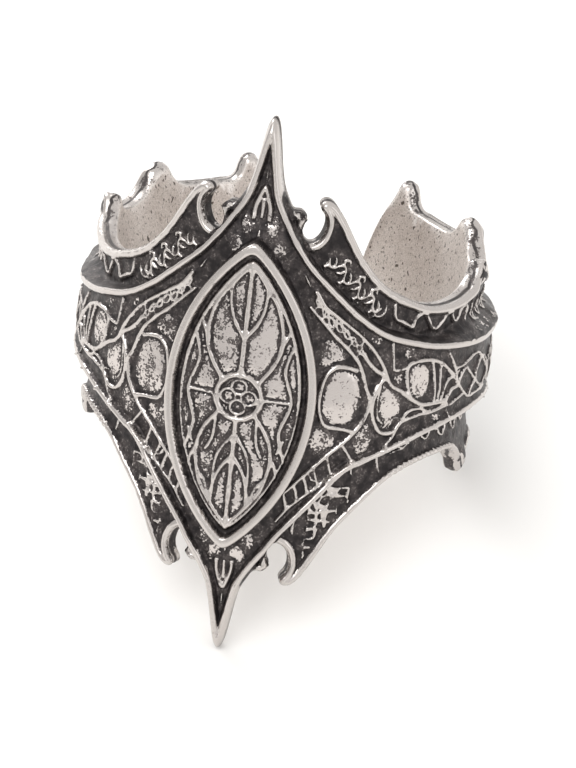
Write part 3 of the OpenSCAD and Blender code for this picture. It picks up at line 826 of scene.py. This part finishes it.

# The hole's wall is cloudy satin. Its light tone is painted well lighter than the outside's silver, as
# painted light against the shade inside the hole. It has small and long pits, drawn out upwards.
drawn = add(tree, "VectorMath", {0: where, 1: (1.0, 1.0, 0.45)}, operation="MULTIPLY").outputs[0]
pit_noise = add(tree, "TexNoise", {"Vector": drawn, "Scale": 1000 / pit_mm, "Detail": 1.0}).outputs["Fac"]
pits = add(tree, "MapRange", {"Value": pit_noise, "From Min": 0.63, "From Max": 0.73}).outputs[0]
long_noise = add(tree, "TexNoise", {"Vector": drawn, "Scale": 1000 / long_pit_mm,
                                    "Detail": 0.0}).outputs["Fac"]
long_pits = add(tree, "MapRange", {"Value": long_noise, "From Min": 0.745, "From Max": 0.79}).outputs[0]
pits = add(tree, "Math", {0: pits, 1: long_pits}, operation="MAXIMUM").outputs[0]
satin_noise = add(tree, "TexNoise", {"Vector": where, "Scale": 1000 / tumbled_mm,
                                     "Detail": 1.0}).outputs["Fac"]
satin_mix = add(tree, "Mix", {0: 0.6, 2: speck, 3: satin_noise}).outputs[0]
satin_mix = add(tree, "MapRange", {"Value": satin_mix, "From Min": 0.36, "From Max": 0.64}).outputs[0]
cloud = add(tree, "Mix", {0: satin_mix, 6: satin_low, 7: satin_painted_lighter}, data_type="RGBA").outputs[2]
inside = add(tree, "Mix", {0: pits, 6: cloud, 7: satin_pit}, data_type="RGBA").outputs[2]

# Bare metal is smooth and fully metallic. The oxide is duller, rougher and grainy, and only half a metal.
base = add(tree, "Mix", {0: wall_at, 6: outside, 7: inside}, data_type="RGBA").outputs[2]
rough_out = add(tree, "MapRange", {"Value": bright, "To Min": 0.42, "To Max": 0.25}).outputs[0]
roughness = add(tree, "Mix", {0: wall_at, 2: rough_out, 3: 0.42}).outputs[0]
metallic_out = add(tree, "MapRange", {"Value": bright, "To Min": 0.6, "To Max": 1.0}).outputs[0]
metallic = add(tree, "Math", {0: metallic_out, 1: wall_at}, operation="MAXIMUM").outputs[0]
grain_noise = add(tree, "TexNoise", {"Vector": where, "Scale": 1000 / grain_mm,
                                     "Detail": 2.0}).outputs["Fac"]
bump_by = add(tree, "MapRange", {"Value": bright, "To Min": 0.9, "To Max": 0.12}).outputs[0]
bump = add(tree, "Bump", {"Strength": bump_by, "Distance": 0.00003, "Height": grain_noise}).outputs[0]
shader = add(tree, "BsdfPrincipled", {"Base Color": base, "Metallic": metallic, "Roughness": roughness,
                                      "Normal": bump})
add(tree, "OutputMaterial", {"Surface": shader.outputs[0]})
mesh.materials.append(metal)
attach(ring, "root")
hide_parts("ring")

# The table. A large sheet of plain white paper lies flat under the ring. It is matte, and its fibres are too
# fine for the eye to see as a pattern.
fibre_mm = 1.11
bpy.ops.mesh.primitive_plane_add(size=3, location=(0, 0, 0))
table = bpy.context.object
table.name = "table"
paper = bpy.data.materials.new("white_paper")
paper.use_nodes = True
sheet = paper.node_tree
sheet.nodes.clear()
spot = add(sheet, "TexCoord", {}).outputs["Object"]
fibre = add(sheet, "TexNoise", {"Vector": spot, "Scale": 1000 / fibre_mm, "Detail": 3.0}).outputs["Fac"]
relief = add(sheet, "Bump", {"Strength": 0.05, "Distance": 0.0001, "Height": fibre}).outputs[0]
matte = add(sheet, "BsdfPrincipled", {"Base Color": colour("#f4f3f1"), "Roughness": 0.9, "Normal": relief})
add(sheet, "OutputMaterial", {"Surface": matte.outputs[0]})
table.data.materials.append(paper)

# The light, as in a small product studio: a pale surround that is a little darker on the left, a large soft
# light above and in front, a weaker one on the right, and one behind on the left.
world = bpy.data.worlds.new("studio")
bpy.context.scene.world = world
world.use_nodes = True
room = world.node_tree
room.nodes.clear()
way_out = add(room, "TexCoord", {}).outputs["Generated"]
darker_side = (-0.8, -0.3, -0.1)
toward = add(room, "VectorMath", {0: way_out, 1: darker_side}, operation="DOT_PRODUCT").outputs["Value"]
shade = add(room, "MapRange", {"Value": toward, "From Min": 0.25, "From Max": 0.65,
                               "To Min": 1.02, "To Max": 0.8}).outputs[0]
air = add(room, "Background", {"Color": colour("#f6f5f4"), "Strength": shade})
add(room, "OutputWorld", {"Surface": air.outputs[0]})

centre = Vector(hole["pos_m"])
LIGHTS = [
    # name, place over the ring's centre in metres, width in metres, watts
    ["soft_key", (-0.06, -0.14, 0.25), 0.2, 0.34],
    ["soft_fill", (0.24, -0.08, 0.10), 0.14, 0.05],
    ["soft_back", (-0.16, 0.17, 0.13), 0.16, 0.35],
]
for name, offset, width, watts in LIGHTS:
    light = bpy.data.lights.new(name, "AREA")
    light.shape = "SQUARE"
    light.size = width
    light.energy = watts
    lamp = bpy.data.objects.new(name, light)
    lamp.location = centre + Vector(offset)
    lamp.rotation_euler = (-Vector(offset)).to_track_quat("-Z", "Y").to_euler()
    bpy.context.scene.collection.objects.link(lamp)
bpy.context.scene.view_settings.view_transform = "Standard"

# The camera. It looks at the ring from where the photo was taken: its place is measured from the ring as
# it stands upright about its hole, and it is then tipped with the ring.
turn = math.radians(-9.97)  # to the left of the plaque
rise = math.radians(18.84)  # above the plaque
roll = math.radians(6.38)
away = 0.30141  # metres from the hole's centre
focal_px = 5472.04
aim_px = (-3.68, -52.6)  # where the hole's centre lies from the middle of the picture
image_px = (576, 768)
upright = Matrix.Rotation(turn, 4, "Z").inverted() @ Matrix.Rotation(rise, 4, "X").inverted()
look = upright @ Matrix.Rotation(math.radians(90), 4, "X")
camera = bpy.data.objects.new("camera", bpy.data.cameras.new("camera"))
bpy.context.scene.collection.objects.link(camera)
bpy.context.scene.camera = camera
side, top_side, back = (look.to_3x3().col[i] for i in range(3))
spin = Matrix.Rotation(roll, 3, back)
side, top_side = spin @ side, spin @ top_side
forward = (-back - side * (aim_px[0] / focal_px) + top_side * (aim_px[1] / focal_px)).normalized()
side = forward.cross(top_side).normalized()
top_side = side.cross(forward)
stand = Matrix((side, top_side, -forward)).transposed().to_4x4()
stand.translation = back * away
camera.matrix_world = to_rest @ stand
camera.data.sensor_width = 36
camera.data.lens = 36 * focal_px / max(image_px)
camera.data.clip_start = 0.01
camera.data.clip_end = 20
